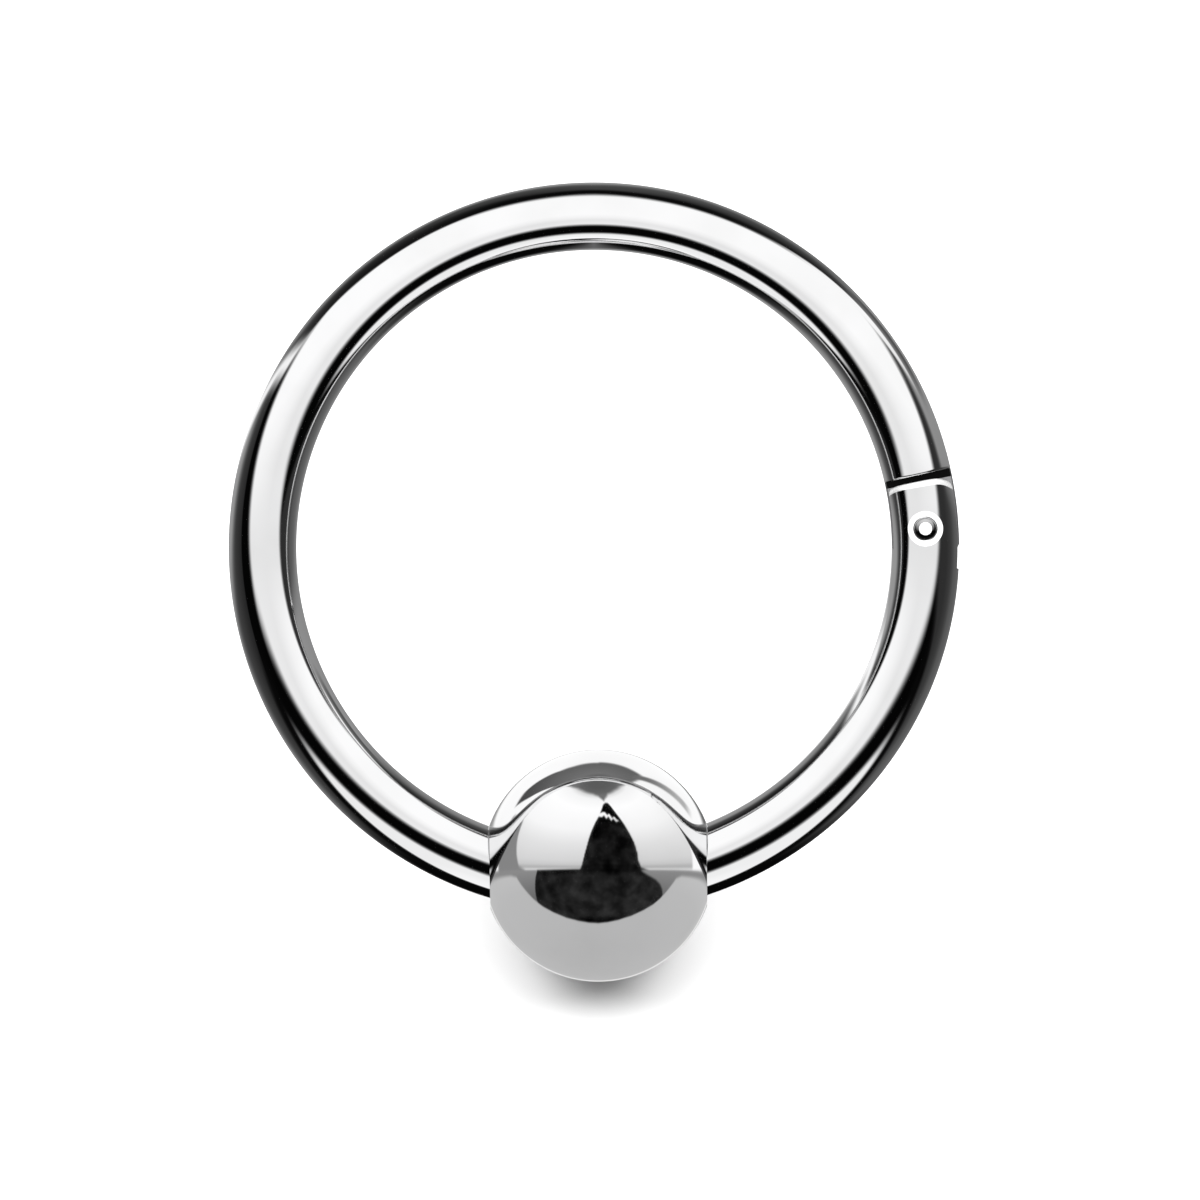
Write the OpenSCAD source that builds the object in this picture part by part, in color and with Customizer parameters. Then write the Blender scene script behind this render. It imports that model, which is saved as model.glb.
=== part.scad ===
// Hinged clicker ring: a round wire hoop whose lower right arc swings out on a
// riveted pin, with a drilled ball fixed on the free end of that arc.
// Millimetres. Each piece is drawn upright in the hoop's own plane, seen from
// +Z, with the ball below the hoop's centre. lay_down() then lays the ring on
// the plane z = 0, front face up, as it rests by itself: on the ball, and on
// the wire opposite the ball.

/* [Hoop] */
// Diameter of the wire
wire_d = 1.2; // [1.1:0.05:1.3]
// Inside diameter of the hoop
hoop_inner_d = 10.5; // [9.5:0.5:12]

/* [Ball] */
// Diameter of the ball
ball_d = 4.1; // [3.8:0.05:4.5]
// How far the ball's centre lies inside the wire's middle line
ball_inset = 0.24; // [0.1:0.02:0.3]
// Diameter of the flat on each side of the ball, where a wire's end meets it
seat_d = 1.48; // [1.42:0.02:1.6]
// Diameter of the peg that carries the ball
peg_d = 0.8; // [0.6:0.05:0.85]
// Length of the peg inside the ball
peg_length = 1.4; // [1:0.1:2]
// Width of the low dome that clicks into the ball
dome_w = 0.6; // [0.4:0.05:0.7]
// Height of that dome
dome_h = 0.09; // [0.06:0.01:0.1]
// Gap between the ball's flats and the wire's ends
seat_gap = 0.02; // [0.01:0.01:0.05]

/* [Hinge] */
// Where the pin stands on the hoop, in degrees above the horizontal
pin_angle = 2.5; // [0:0.25:8]
// Diameter of the pin
pin_d = 0.41; // [0.35:0.01:0.45]
// Distance from the pin to the shoulder above it
shoulder_distance = 0.95; // [0.93:0.01:1]
// Width of the split between the shoulder and the fork's end
split_gap = 0.11; // [0.1:0.01:0.14]
// Thickness of the tongue
tongue_t = 0.36; // [0.3:0.01:0.4]
// Gap between the tongue's round end and the slot's floor
slot_gap = 0.02; // [0.01:0.01:0.05]
// Length of the bevel round the fork's end
bevel_length = 0.1; // [0.06:0.01:0.12]
// Gap on each side of the tongue, and round the pin in it
running_gap = 0.02; // [0.01:0.01:0.03]
// Diameter of the round sink in which the pin's head stands
sink_d = 0.62; // [0.55:0.01:0.66]

/* [Hidden] */
$fn = 96;

// Radii, and the hoop's middle line
wire_r = wire_d / 2;
ball_r = ball_d / 2;
hoop_r = hoop_inner_d / 2 + wire_r;
ball_drop = hoop_r - ball_inset;
clear = wire_d; // how far a cutting solid reaches past what it cuts

// The ball's flats, and the angle at which the wire's middle line meets them
flat_distance = sqrt(ball_r * ball_r - seat_d * seat_d / 4);
seat_angle = asin(flat_distance / hoop_r);

// Ends of the two arcs as angles on the hoop, which overrun the flats' planes
overrun_angle = 10;
shoulder_angle = pin_angle + asin(shoulder_distance / hoop_r);
fork_angle = shoulder_angle - split_gap / hoop_r * 180 / PI;

// The fork's corners are rounded about the pin, so that they pass the shoulder
fork_corner_r = shoulder_distance - running_gap;

// The tongue is almost flush with the wire, and its end is round about the pin
tongue_wire_r = 0.99 * wire_r;
tongue_end_r = 1.1 * wire_r;
slot_depth = tongue_end_r + slot_gap;
slot_angle = pin_angle - asin(slot_depth / hoop_r);

// The pin's seat and head, and the bevels
sink_floor_z = 0.84 * wire_r;
pin_head_z = 0.98 * wire_r;
pin_edge_r = 0.22 * pin_d;
bevel_slope = 0.6; // depth of a bevel for each unit of its length
shoulder_bevel_length = 0.4 * bevel_length;
pin_fixed_gap = 0.01;
dome_ball_r = (dome_w * dome_w / 4 + dome_h * dome_h) / (2 * dome_h);

// How the ring lies: its tilt, its centre's height, and its box's middle
lie_tilt = asin((ball_r - wire_r) / (hoop_r + ball_drop));
hoop_z = hoop_r * sin(lie_tilt) + wire_r;
low_y = -ball_drop * cos(lie_tilt) - ball_r;
high_y = hoop_r * cos(lie_tilt) + wire_r;

// Lays the upright ring down, with the middle of its box over the origin
module lay_down() {
    translate([0, -(low_y + high_y) / 2, hoop_z])
        rotate([-lie_tilt, 0, 0])
            children();
}

// Round wire of radius r along the hoop, from one angle to another
module wire_arc(from, to, r = wire_r) {
    rotate([0, 0, from])
        rotate_extrude(angle = to - from)
            translate([hoop_r, 0])
                circle(r = r);
}

// A frame at the pin: +X points out of the hoop and +Y up along the wire
module at_pin() {
    rotate([0, 0, pin_angle])
        translate([hoop_r, 0, 0])
            children();
}

// A frame at the ball's centre: +X points out of one flat, side 1 or -1
module at_seat(side) {
    translate([0, -ball_drop, 0])
        rotate([0, 0, side > 0 ? 0 : 180])
            children();
}

// Everything nearer the ball than the end of the wire on that side
module ball_room(side) {
    at_seat(side)
        translate([flat_distance + seat_gap - 2 * ball_r, -ball_r, -ball_r])
            cube([2 * ball_r, 2 * ball_r, 2 * ball_r]);
}

// The low dome on the wire's end, or its hollow in the ball when grown
module click_dome(grow = 0) {
    at_seat(-1)
        translate([flat_distance + dome_ball_r - dome_h, 0, 0])
            sphere(r = dome_ball_r + grow);
}

// Cuts a bevel round the wire's end at that angle; side 1 keeps the wire above
module end_bevel(angle, side, length) {
    past = wire_r / 3;
    rotate([0, 0, angle])
        translate([hoop_r, 0, 0])
            rotate([side * 90, 0, 0])
                rotate_extrude()
                    polygon([
                        [wire_r - bevel_slope * (length + past), past],
                        [wire_r + bevel_slope * past, -length - past],
                        [wire_r + clear, -length - past],
                        [wire_r + clear, past],
                    ]);
}

// Flat tongue that runs from inside the shoulder to its round end at the pin
module tongue() {
    intersection() {
        wire_arc(slot_angle - overrun_angle, shoulder_angle + overrun_angle / 2, tongue_wire_r);
        at_pin() {
            cylinder(r = tongue_end_r, h = tongue_t, center = true);
            translate([-clear, 0, -tongue_t / 2])
                cube([2 * clear, 3 * clear, tongue_t]);
        }
    }
}

// Long arc of the hoop, with the tongue at one end and the dome at the other
module main_ring() {
    color([0.78, 0.78, 0.79]) lay_down() difference() {
        union() {
            difference() {
                wire_arc(shoulder_angle, 270 - seat_angle + overrun_angle);
                ball_room(-1);
                end_bevel(shoulder_angle, 1, shoulder_bevel_length);
            }
            intersection() {
                click_dome();
                at_seat(-1)
                    translate([0, -wire_r, -wire_r])
                        cube([flat_distance + seat_gap + dome_h, wire_d, wire_d]);
            }
            tongue();
        }
        at_pin()
            cylinder(r = pin_d / 2 + running_gap, h = 2 * wire_d, center = true);
    }
}

// Slot for the tongue. Its floor follows the tongue's round end on the hoop's
// inner side, and is straight on the outer side, where the tongue swings past.
module slot() {
    slot_w = tongue_t + 2 * running_gap;
    rotate([0, 0, slot_angle])
        translate([hoop_r * cos(pin_angle - slot_angle), 0, -slot_w / 2])
            cube([clear, slot_depth + clear, slot_w]);
    at_pin() {
        cylinder(r = slot_depth, h = slot_w, center = true);
        translate([-clear, 0, -slot_w / 2])
            cube([2 * clear, 2 * clear, slot_w]);
    }
}

// What the fork loses: the slot, the corners and the pin's seat
module fork_cuts() {
    slot();
    at_pin() {
        difference() {
            translate([-clear, wire_r / 2, -clear])
                cube([2 * clear, 2 * clear, 2 * clear]);
            cylinder(r = fork_corner_r, h = 3 * clear, center = true);
        }
        cylinder(r = pin_d / 2 + pin_fixed_gap, h = 2 * wire_d, center = true);
        for (face = [0, 180])
            rotate([face, 0, 0])
                translate([0, 0, sink_floor_z])
                    cylinder(d = sink_d, h = wire_r);
    }
}

// Short arc that swings open, with the fork at the hinge and the ball's peg
module hinged_segment() {
    color([0.76, 0.76, 0.77]) lay_down() {
        difference() {
            wire_arc(seat_angle - 90 - overrun_angle, fork_angle);
            ball_room(1);
            end_bevel(fork_angle, -1, bevel_length);
            fork_cuts();
        }
        at_seat(1)
            translate([flat_distance - peg_length, 0, 0])
                rotate([0, 90, 0])
                    cylinder(d = peg_d, h = peg_length + seat_gap + wire_r / 4);
    }
}

// Riveted pin, flat at both ends and rounded at their edges
module hinge_pin() {
    pin_r = pin_d / 2;
    color([0.7, 0.7, 0.71]) lay_down() at_pin() rotate_extrude() {
        translate([0, -pin_head_z])
            square([pin_r - pin_edge_r, 2 * pin_head_z]);
        translate([0, -pin_head_z + pin_edge_r])
            square([pin_r, 2 * (pin_head_z - pin_edge_r)]);
        for (end = [-1, 1])
            translate([pin_r - pin_edge_r, end * (pin_head_z - pin_edge_r)])
                circle(r = pin_edge_r);
    }
}

// Ball with a flat on each side, the peg's bore and the dome's hollow
module ball() {
    color([0.74, 0.74, 0.75]) lay_down() difference() {
        translate([0, -ball_drop, 0])
            sphere(r = ball_r);
        for (side = [-1, 1])
            at_seat(side)
                translate([flat_distance, -ball_r, -ball_r])
                    cube([ball_r, 2 * ball_r, 2 * ball_r]);
        at_seat(1)
            translate([flat_distance - peg_length - running_gap, 0, 0])
                rotate([0, 90, 0])
                    cylinder(d = peg_d + 2 * pin_fixed_gap, h = ball_r);
        click_dome(running_gap);
    }
}

main_ring();
hinged_segment();
hinge_pin();
ball();
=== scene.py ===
"""Looks of a hinged clicker ring, built round its packed solids.

Sizes are in millimetres and degrees, as in the part's source. Each piece is first worked out
upright in the hoop's own plane, seen from +Z with the ball below, and then laid on the floor.
"""
import logging
import math
from abc import ABC, abstractmethod
from dataclasses import dataclass
from enum import Enum
from typing import Callable, ClassVar, Sequence

import bmesh
import bpy
import numpy as np
from bpy.types import Collection, ID, Material, Mesh, Node, NodeSocket, Object, World
from mathutils import Matrix, Vector


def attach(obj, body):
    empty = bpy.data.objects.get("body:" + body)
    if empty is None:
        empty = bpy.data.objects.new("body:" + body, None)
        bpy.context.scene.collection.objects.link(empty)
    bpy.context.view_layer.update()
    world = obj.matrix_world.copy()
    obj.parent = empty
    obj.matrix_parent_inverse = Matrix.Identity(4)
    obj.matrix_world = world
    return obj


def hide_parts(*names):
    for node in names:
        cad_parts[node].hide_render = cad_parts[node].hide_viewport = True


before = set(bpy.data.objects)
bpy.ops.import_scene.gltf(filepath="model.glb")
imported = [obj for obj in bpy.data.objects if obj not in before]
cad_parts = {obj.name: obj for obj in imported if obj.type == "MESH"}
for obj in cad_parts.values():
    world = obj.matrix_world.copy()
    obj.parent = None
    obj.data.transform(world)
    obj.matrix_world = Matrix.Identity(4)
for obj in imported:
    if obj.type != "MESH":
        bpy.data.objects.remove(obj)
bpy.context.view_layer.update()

LOG = logging.getLogger("clicker_ring")
MM = 0.001
FULL_TURN = 2 * math.pi
WELD_DISTANCE = 2e-8
SHARP_ANGLE = math.radians(12.0)
ON_SURFACE = 1e-5
QUAD = 4  # corners of a face
FLIP = np.array([1.0, 1.0, -1.0])  # the mirror image in the hoop's plane
WHITE = (1.0, 1.0, 1.0, 1.0)
Array = np.ndarray
Corners = tuple[tuple[float, float], ...]
Polish = Callable[[Array], tuple[Array, Array]]


class Side(Enum):
    """The two sides of the ball at which the wire ends."""

    LEFT = -1
    RIGHT = 1


class Body(Enum):
    """The bodies that the hinge joins."""

    RING = "ring"
    SEGMENT = "segment"


class Face(Enum):
    """How a face is worked: the place of its mark in the finish's attribute, or none."""

    POLISHED = None
    CUT = 0
    BRIGHT = 1
    # painted shade: near black where the split and the rivet's edge lie in shade
    PAINTED_SHADE = 2


class Slot(Enum):
    """The record's places for a finish."""

    HOOP = "hoop_steel"
    BALL = "ball_steel"
    PIN = "pin_steel"


@dataclass(frozen=True)
class RingSizes:
    """Sizes that the pieces share, in millimetres and degrees."""

    wire_d: float = 1.2
    hoop_inner_d: float = 10.5
    ball_d: float = 4.1
    ball_inset: float = 0.24
    seat_d: float = 1.48
    seat_gap: float = 0.004
    peg_d: float = 0.8
    peg_length: float = 1.4
    dome_w: float = 0.6
    dome_h: float = 0.09
    pin_angle: float = 2.5
    pin_d: float = 0.41
    shoulder_distance: float = 0.95
    split_gap: float = 0.11
    tongue_t: float = 0.36
    tongue_wire_share: float = 0.995
    tongue_end_share: float = 1.1
    slot_gap: float = 0.005
    running_gap: float = 0.02
    fixed_gap: float = 0.01

    @property
    def wire_r(self) -> float:
        """Radius of the wire."""
        return self.wire_d / 2

    @property
    def ball_r(self) -> float:
        """Radius of the ball."""
        return self.ball_d / 2

    @property
    def hoop_r(self) -> float:
        """Radius of the wire's middle line."""
        return self.hoop_inner_d / 2 + self.wire_r

    @property
    def ball_drop(self) -> float:
        """How far the ball's centre lies below the hoop's."""
        return self.hoop_r - self.ball_inset

    @property
    def flat_distance(self) -> float:
        """Distance of each flat from the ball's centre."""
        return math.sqrt(self.ball_r**2 - self.seat_d**2 / 4)

    @property
    def dome_r(self) -> float:
        """Radius of the click dome's ball, (w w / 4 + h h) / 2 h."""
        return (self.dome_w**2 / 4 + self.dome_h**2) / (2 * self.dome_h)

    @property
    def dome_centre(self) -> float:
        """Distance of that ball's centre from the ring's ball's centre."""
        return self.flat_distance + self.dome_r - self.dome_h

    @property
    def pin_turn(self) -> float:
        """Place of the pin along the hoop, in radians."""
        return math.radians(self.pin_angle)

    @property
    def pin_centre(self) -> Array:
        """The pin's axis in the hoop's plane."""
        return self.hoop_r * np.array([math.cos(self.pin_turn), math.sin(self.pin_turn)])

    @property
    def shoulder_turn(self) -> float:
        """Place of the long arc's shoulder along the hoop, in radians."""
        return self.pin_turn + math.asin(self.shoulder_distance / self.hoop_r)

    @property
    def fork_turn(self) -> float:
        """Place of the fork's end along the hoop, in radians."""
        return self.shoulder_turn - self.split_gap / self.hoop_r

    @property
    def tongue_wire_r(self) -> float:
        """Radius of the wire that the tongue is cut from."""
        return self.tongue_wire_share * self.wire_r

    @property
    def tongue_end_r(self) -> float:
        """Radius of the tongue's end about the pin."""
        return self.tongue_end_share * self.wire_r

    @property
    def slot_depth(self) -> float:
        """Distance of the slot's floor from the pin."""
        return self.tongue_end_r + self.slot_gap

    @property
    def slot_turn(self) -> float:
        """Place of the slot's straight floor along the hoop, in radians."""
        return self.pin_turn - math.asin(self.slot_depth / self.hoop_r)

    @property
    def lie_tilt(self) -> float:
        """Tilt of the lying hoop, in radians: it rests on the ball and on the wire opposite."""
        return math.asin((self.ball_r - self.wire_r) / (self.hoop_r + self.ball_drop))

    @property
    def hoop_height(self) -> float:
        """Height of the lying hoop's centre."""
        return self.hoop_r * math.sin(self.lie_tilt) + self.wire_r

    @property
    def hoop_shift(self) -> float:
        """How far the lying hoop's centre is from the middle of its box, along Y."""
        low = -self.ball_drop * math.cos(self.lie_tilt) - self.ball_r
        return -(low + self.hoop_r * math.cos(self.lie_tilt) + self.wire_r) / 2

    def past_pin(self, reach: Array, radius: float) -> Array:
        """Angle from the pin where reach p meets a circle c about it: acos((pp + RR - cc) / 2pR)."""
        return np.arccos((reach**2 + self.hoop_r**2 - radius**2) / (2 * reach * self.hoop_r))

    def about_pin(self, radius: Array | float, angle: Array, height: Array | float) -> Array:
        """Points of circles about the pin's axis: (px + q cos a, py + q sin a, z)."""
        return polar(radius, angle, height) + np.array([*self.pin_centre, 0.0])

    def bearing(self, points: Array) -> Array:
        """Directions of points from the pin, in radians."""
        x, y = self.pin_centre
        return np.arctan2(points[..., 1] - y, points[..., 0] - x)

    def wire_point(self, along: Array, turn: Array, radius: Array | float) -> Array:
        """Points ((R + q cos t) cos a, (R + q cos t) sin a, q sin t), a along and t round the wire."""
        return polar(self.hoop_r + radius * np.cos(turn), along, radius * np.sin(turn))

    def seat_point(self, side: Side, depth: Array, radius: Array, turn: Array) -> Array:
        """Points C + d n + q (sin t z - cos t y) about a flat's axis n, C being the ball's centre."""
        return stacked(side.value * depth, -self.ball_drop - radius * np.cos(turn), radius * np.sin(turn))

    def seat_cut(self, side: Side, turn: Array) -> Array:
        """Where the wire's end plane cuts its surface.

        The plane is x = -+D, so the line at t round the wire, which is R + r cos t from the
        hoop's centre, meets it at a = -acos(D / (R + r cos t)) or at pi less that.

        Args:
            side: Which end.
            turn: Angles t round the wire, in radians.

        Returns:
            The angles a along the hoop, in radians.
        """
        plane = self.flat_distance + self.seat_gap
        facing = 0.0 if side is Side.RIGHT else math.pi
        return facing - side.value * np.arccos(plane / (self.hoop_r + self.wire_r * np.cos(turn)))


@dataclass(frozen=True)
class Lying:
    """How the upright ring is laid down on the floor, front face up."""

    sizes: RingSizes

    @property
    def _tilt(self) -> Array:
        """The upright axes on the floor: (1, 0, 0), (0, cos t, -sin t) and (0, sin t, cos t)."""
        c, s = math.cos(self.sizes.lie_tilt), math.sin(self.sizes.lie_tilt)
        return np.array([[1.0, 0.0, 0.0], [0.0, c, -s], [0.0, s, c]])

    @property
    def _shift(self) -> Array:
        """Where the lying hoop's centre is, in millimetres."""
        return np.array([0.0, self.sizes.hoop_shift, self.sizes.hoop_height])

    def turned(self, upright: Array) -> Array:
        """Upright directions as directions on the floor."""
        return upright @ self._tilt

    def placed(self, upright: Array) -> Array:
        """Upright points in millimetres as points on the floor in metres."""
        return (self.turned(upright) + self._shift) * MM

    def lifted(self, lying: Array) -> Array:
        """Points on the floor in metres as upright points in millimetres."""
        return (lying / MM - self._shift) @ self._tilt.T

    def frame_matrix(self) -> Matrix:
        """The hoop's own axes at its centre, as a matrix."""
        return Matrix.Translation((self._shift * MM).tolist()) @ Matrix(self._tilt.T.tolist()).to_4x4()


def stacked(x: Array, y: Array, z: Array) -> Array:
    """Points with x, y and z on the last axis, from arrays that spread over each other."""
    return np.stack(np.broadcast_arrays(x, y, z), axis=-1)


def polar(reach: Array | float, angle: Array | float, height: Array | float) -> Array:
    """Points (p cos a, p sin a, z), at distances p and angles a about an axis."""
    return stacked(reach * np.cos(angle), reach * np.sin(angle), height)


def between(first: Array, last: Array | float, count: int) -> Array:
    """Rows from one line of points or values to another: row s is (1 - s) first + s last."""
    share = np.linspace(0.0, 1.0, count).reshape(-1, *[1] * np.ndim(first))
    return (1 - share) * first + share * last


def legs(corners: Sequence[Sequence[float]], steps: Sequence[int]) -> Array:
    """Depths and radii, one column each, along straight legs from corner to corner."""
    parts = [np.linspace(a, b, n + 1)[1:] for a, b, n in zip(corners, corners[1:], steps)]
    return np.concatenate([np.array(corners[:1]), *parts]).T[..., None]


def line(along: Array, corners: Corners) -> Array:
    """Heights of a line through corners, level before the first and after the last."""
    places, heights = zip(*corners)
    return np.interp(along, places, heights)


def eased(value: Array, width: float) -> Array:
    """0 below minus half the width and 1 above plus half of it, by t t (3 - 2 t) between."""
    t = np.clip(value / width + 0.5, 0.0, 1.0)
    return t * t * (3.0 - 2.0 * t)


def grid_faces(rows: int, columns: int, ring: bool) -> Array:
    """The points at the four corners of each face of a grid.

    Args:
        rows: Rows of points.
        columns: Columns of points.
        ring: Whether the last column joins the first.

    Returns:
        The points' numbers, by rows and columns of faces.
    """
    index = np.arange(rows * columns).reshape(rows, columns)
    following = np.roll(index, -1, axis=1) if ring else index[:, 1:]
    index = index if ring else index[:, :-1]
    return np.stack([index[:-1], following[:-1], following[1:], index[1:]], axis=-1)


def read(items: bpy.types.bpy_prop_collection, name: str, width: int = 1, kind: type = np.int32) -> Array:
    """One value of every item of a mesh's list.

    Args:
        items: The list.
        name: The value's name.
        width: How many numbers the value has.
        kind: Their type.

    Returns:
        The values, one row an item where they have more than one number.
    """
    values = np.empty(len(items) * width, kind)
    items.foreach_get(name, values)
    return values.reshape(-1, width) if width > 1 else values


def new_object(name: str, data: ID, place: Matrix | None = None) -> Object:
    """Put an object into the scene.

    Args:
        name: Its name.
        data: Its mesh, light or camera.
        place: Where it stands, or None for the origin.

    Returns:
        The object.
    """
    made = bpy.data.objects.new(name, data)
    if place is not None:
        made.matrix_world = place
    bpy.context.scene.collection.objects.link(made)
    return made


def gathered(name: str, members: list[Object]) -> Collection:
    """Put objects into a collection of their own, for light linking.

    Args:
        name: The collection's name.
        members: The objects.

    Returns:
        The collection.
    """
    made = bpy.data.collections.new(name)
    for member in members:
        made.objects.link(member)
    return made


class Shell:
    """Grids of points that are sewn into one closed surface."""

    def __init__(self) -> None:
        """Start with no grid."""
        self._points: list[Array] = []
        self._quads: list[Array] = []
        self._marks: list[Array] = []
        self._count = 0

    def grid(
        self, points: Array, ring: bool = False, face: Face = Face.POLISHED, share: Array | float = 1.0
    ) -> None:
        """Add a grid, four corners a face.

        Args:
            points: Rows by columns by coordinates, upright and in millimetres.
            ring: Whether the last column joins the first.
            face: How its faces are worked.
            share: How far they are, from 0 to 1, by rows and columns of faces.
        """
        quads = grid_faces(*points.shape[:2], ring) + self._count
        marks = np.zeros((*quads.shape[:2], 3))
        if face is not Face.POLISHED:
            marks[..., face.value] = share
        self._points.append(points.reshape(-1, 3))
        self._quads.append(quads.reshape(-1, QUAD))
        self._marks.append(marks.reshape(-1, 3))
        self._count += len(self._points[-1])

    def pair(self, points: Array, ring: bool = False, face: Face = Face.POLISHED) -> None:
        """Add a grid and its mirror image in the hoop's plane."""
        self.grid(points, ring, face)
        self.grid(points * FLIP, ring, face)

    def to_object(self, name: str, lying: Lying, polish: Polish) -> Object:
        """Lay the surface down, sew its seams and give it its shading.

        Args:
            name: The piece's name.
            lying: How the ring lies.
            polish: Gives the exact normals of upright points, and which of them lie on the
                polished surface.

        Returns:
            The piece, in the scene's collection.
        """
        mesh = bpy.data.meshes.new(name)
        points = lying.placed(np.concatenate(self._points))
        mesh.from_pydata(points.tolist(), [], np.concatenate(self._quads).tolist())
        # marks of the worked faces and of the painted shade
        marks = mesh.attributes.new("worked", "FLOAT_VECTOR", "CORNER")
        marks.data.foreach_set("vector", np.repeat(np.concatenate(self._marks), QUAD, axis=0).ravel())
        self._sew(mesh)
        mesh.shade_smooth()
        mesh.set_sharp_from_angle(angle=SHARP_ANGLE)
        self._polish(mesh, lying, polish)
        return new_object(name, mesh)

    @staticmethod
    def _sew(mesh: Mesh) -> None:
        """Merge the points that the grids share, and turn every face outward.

        Args:
            mesh: The mesh of loose grids.
        """
        sheet = bmesh.new()
        sheet.from_mesh(mesh)
        bmesh.ops.remove_doubles(sheet, verts=sheet.verts, dist=WELD_DISTANCE)
        bmesh.ops.recalc_face_normals(sheet, faces=sheet.faces)
        sheet.to_mesh(mesh)
        sheet.free()

    @staticmethod
    def _polish(mesh: Mesh, lying: Lying, polish: Polish) -> None:
        """Give each face that lies wholly on the polished surface that surface's own normals.

        The others have zeros, which stand for the mesh's own.

        Args:
            mesh: The sewn mesh.
            lying: How the ring lies.
            polish: Gives the exact normals, as in to_object.
        """
        normals, on_surface = polish(lying.lifted(read(mesh.vertices, "co", 3, float)))
        corner = read(mesh.loops, "vertex_index")
        starts, totals = read(mesh.polygons, "loop_start"), read(mesh.polygons, "loop_total")
        whole = np.repeat(np.logical_and.reduceat(on_surface[corner], starts), totals)
        exact = np.where(whole[:, None], lying.turned(normals)[corner], 0.0)
        mesh.normals_split_custom_set(exact.tolist())


def math_method(operation: str, meaning: str, turned: bool = False) -> Callable[..., "Value"]:
    """Make a method of Value that adds a Math node.

    Args:
        operation: What the node does.
        meaning: The method's docstring.
        turned: Whether the other value comes first, as where a number stands on the left.

    Returns:
        The method.
    """

    def method(self: "Value", *others: "Value | float") -> "Value":
        """Add the node."""
        return self.shader.math(operation, *((*others, self) if turned else (self, *others)))

    method.__doc__ = meaning
    return method


class Value:
    """A shader socket that can be reckoned with: an operator on it adds its Math node."""

    def __init__(self, shader: "Shader", socket: NodeSocket) -> None:
        """Wrap a node's output."""
        self.shader = shader
        self.socket = socket

    __add__ = __radd__ = math_method("ADD", "Sum.")
    __sub__ = math_method("SUBTRACT", "Difference.")
    __rsub__ = math_method("SUBTRACT", "Difference from a number.", turned=True)
    __mul__ = __rmul__ = math_method("MULTIPLY", "Product.")
    __truediv__ = math_method("DIVIDE", "Quotient.")
    __rtruediv__ = math_method("DIVIDE", "Quotient of a number by this value.", turned=True)
    __pow__ = math_method("POWER", "Power.")
    __rpow__ = math_method("POWER", "Power of a number.", turned=True)
    __abs__ = math_method("ABSOLUTE", "Size without its sign.")
    at_least = math_method("MAXIMUM", "The larger of two values.")
    at_most = math_method("MINIMUM", "The smaller of two values.")

    def eased(self, start: float, end: float) -> "Value":
        """0 up to the start and 1 from the end, by t t (3 - 2 t) between them."""
        t = ((self - start) / (end - start)).at_least(0.0).at_most(1.0)
        return t * t * (3.0 - 2.0 * t)

    def mixed(self, other: "Value | float", share: "Value | float") -> "Value":
        """This value at share 0 and the other at share 1."""
        return self + (other - self) * share


class Shader:
    """The node tree of a material or a world, built by expressions."""

    def __init__(self, owner: Material | World) -> None:
        """Give the owner an empty tree.

        Args:
            owner: The material or world.
        """
        owner.use_nodes = True
        self.tree = owner.node_tree
        self.tree.nodes.clear()

    def node(self, kind: str, settings: dict | None = None, inputs: dict | None = None) -> Node:
        """Add a node.

        Args:
            kind: The node's type.
            settings: Its own settings by name, which are set first.
            inputs: Values or links of its sockets, by name or number.

        Returns:
            The node.
        """
        made = self.tree.nodes.new(kind)
        for name, value in (settings or {}).items():
            setattr(made, name, value)
        for key, value in (inputs or {}).items():
            source = value.socket if isinstance(value, Value) else value
            if isinstance(source, NodeSocket):
                self.tree.links.new(source, made.inputs[key])
            else:
                made.inputs[key].default_value = source
        return made

    def close(self, kind: str, inputs: dict, output: str = "ShaderNodeOutputMaterial") -> None:
        """Add the last shader node, and the output that it feeds."""
        last = self.node(kind, inputs=inputs)
        self.node(output, inputs={"Surface": last.outputs[0]})

    def math(self, operation: str, *values: Value | float) -> Value:
        """The result of a Math node."""
        made = self.node("ShaderNodeMath", {"operation": operation}, dict(enumerate(values)))
        return Value(self, made.outputs[0])

    def place(self) -> NodeSocket:
        """The point shaded, in the object's own coordinates."""
        return self.node("ShaderNodeTexCoord").outputs["Object"]

    def split(self, vector: Value | NodeSocket) -> tuple[Value, Value, Value]:
        """The three parts of a vector."""
        parts = self.node("ShaderNodeSeparateXYZ", inputs={0: vector})
        return tuple(Value(self, part) for part in parts.outputs)

    def vector(self, *parts: Value | float) -> NodeSocket:
        """Three values as one vector."""
        return self.node("ShaderNodeCombineXYZ", inputs=dict(enumerate(parts))).outputs[0]

    def noise(self, vector: NodeSocket, scale: float, detail: float = 2.0) -> Value:
        """Even noise from 0 to 1."""
        made = self.node("ShaderNodeTexNoise", inputs={"Vector": vector, "Scale": scale, "Detail": detail})
        return Value(self, made.outputs[0])

    def attribute(self, name: str, output: str = "Fac") -> Value:
        """One of the mesh's attributes."""
        return Value(self, self.node("ShaderNodeAttribute", {"attribute_name": name}).outputs[output])

    def mix_colour(
        self, share: Value, first: tuple | NodeSocket, second: tuple
    ) -> NodeSocket:
        """One colour at share 0 and the other at share 1; 6 and 7 are the node's colours."""
        return self.node("ShaderNodeMix", {"data_type": "RGBA"}, {0: share, 6: first, 7: second}).outputs[2]


@dataclass(frozen=True)
class WorkedLook:
    """The look of faces that aren't polished: their reflectance and their roughness."""

    face: Face
    colour: tuple[float, float, float]
    roughness: float


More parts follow.
